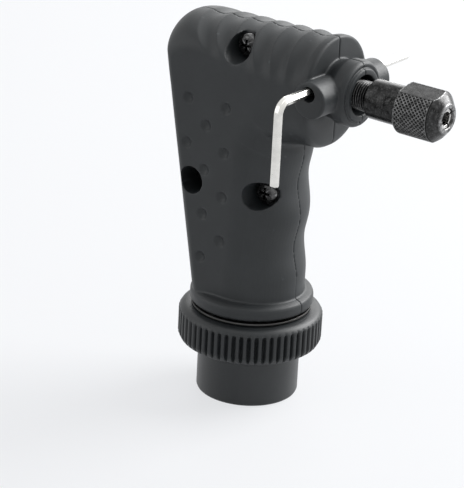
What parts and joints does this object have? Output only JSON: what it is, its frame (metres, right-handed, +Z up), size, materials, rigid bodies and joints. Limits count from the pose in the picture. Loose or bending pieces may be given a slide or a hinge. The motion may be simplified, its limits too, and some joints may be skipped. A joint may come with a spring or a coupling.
{
  "type": "right angle rotary tool attachment",
  "caption": "Right angle drive head for a rotary tool: ribbed coupling nut, split grip housing, mitre gears, collet chuck and a lock key.",
  "frame": {"origin": "on the driver axis, in the plane of the coupling nut's open end", "axes": "+Z up along the driver axis, towards the head; +X along the output spindle, towards the collet nut; the housing parts on the plane Y = 0"},
  "size_m": [0.0758, 0.0525, 0.0965],
  "materials": {
    "housing": "satin moulded, light grain",
    "coupling": "satin moulded",
    "washer": "dull",
    "screw": "black oxide",
    "steel": "ground",
    "gear": "sintered, oiled",
    "race": "polished",
    "cage": "pressed",
    "black_oxide": "black oxide over steel, worn bright at the edges",
    "collet": "bright turned",
    "key": "bright nickel"
  },
  "bodies": {
    "housing": {"housing_right": "housing", "housing_left": "housing", "housing_screws": "screw", "input_bearing_outers": "race", "output_bearing_outers": "race"},
    "coupling_nut": {"coupling_nut": "coupling", "thrust_washer": "washer"},
    "input_drive": {"input_shaft": "steel", "input_gear": "gear", "input_gear_pin": "steel", "input_circlip": "black_oxide", "input_bearing_inners": "race"},
    "input_ball_sets": {"input_bearing_balls": "race", "input_bearing_cages": "cage"},
    "output_spindle": {"output_shaft": "black_oxide", "output_gear": "gear", "output_gear_pin": "steel", "output_spacer": "steel", "output_bearing_inners": "race", "chuck_body": "black_oxide"},
    "output_ball_sets": {"output_bearing_balls": "race", "output_bearing_cages": "cage"},
    "collet": {"collet": "collet"},
    "collet_nut": {"collet_nut": "black_oxide"},
    "lock_key": {"lock_key": "key"}
  },
  "joints": [
    {"name": "coupling_nut_turn", "type": "hinge", "parent": "housing", "child": "coupling_nut", "pos_m": [0, 0, 0.018], "axis": [0, 0, 1], "continuous": true},
    {"name": "output_spin", "type": "hinge", "parent": "housing", "child": "output_spindle", "pos_m": [0.0147, 0, 0.0839], "axis": [1, 0, 0], "continuous": true},
    {"name": "input_spin", "type": "hinge", "parent": "housing", "child": "input_drive", "pos_m": [0, 0, 0.05], "axis": [0, 0, 1], "continuous": true},
    {"name": "input_ball_orbit", "type": "hinge", "parent": "housing", "child": "input_ball_sets", "pos_m": [0, 0, 0.05], "axis": [0, 0, 1], "continuous": true},
    {"name": "output_ball_orbit", "type": "hinge", "parent": "housing", "child": "output_ball_sets", "pos_m": [0.0147, 0, 0.0839], "axis": [1, 0, 0], "continuous": true},
    {"name": "collet_travel", "type": "slide", "parent": "output_spindle", "child": "collet", "axis": [1, 0, 0], "range_m": [0, 0.00127]},
    {"name": "collet_nut_turn", "type": "hinge", "parent": "collet", "child": "collet_nut", "pos_m": [0.045, 0, 0.0839], "axis": [1, 0, 0], "range_deg": [0, 720]},
    {"name": "lock_key_slide", "type": "slide", "parent": "housing", "child": "lock_key", "axis": [0, -1, 0], "range_m": [0, 0.042]}
  ],
  "couplings": [
    {"joint": "input_spin", "follows": "output_spin", "ratio": 1},
    {"joint": "input_ball_orbit", "follows": "output_spin", "ratio": 0.38125},
    {"joint": "output_ball_orbit", "follows": "output_spin", "ratio": 0.38125},
    {"joint": "collet_nut_turn", "follows": "collet_travel", "rad_per_m": 9894.7}
  ]
}
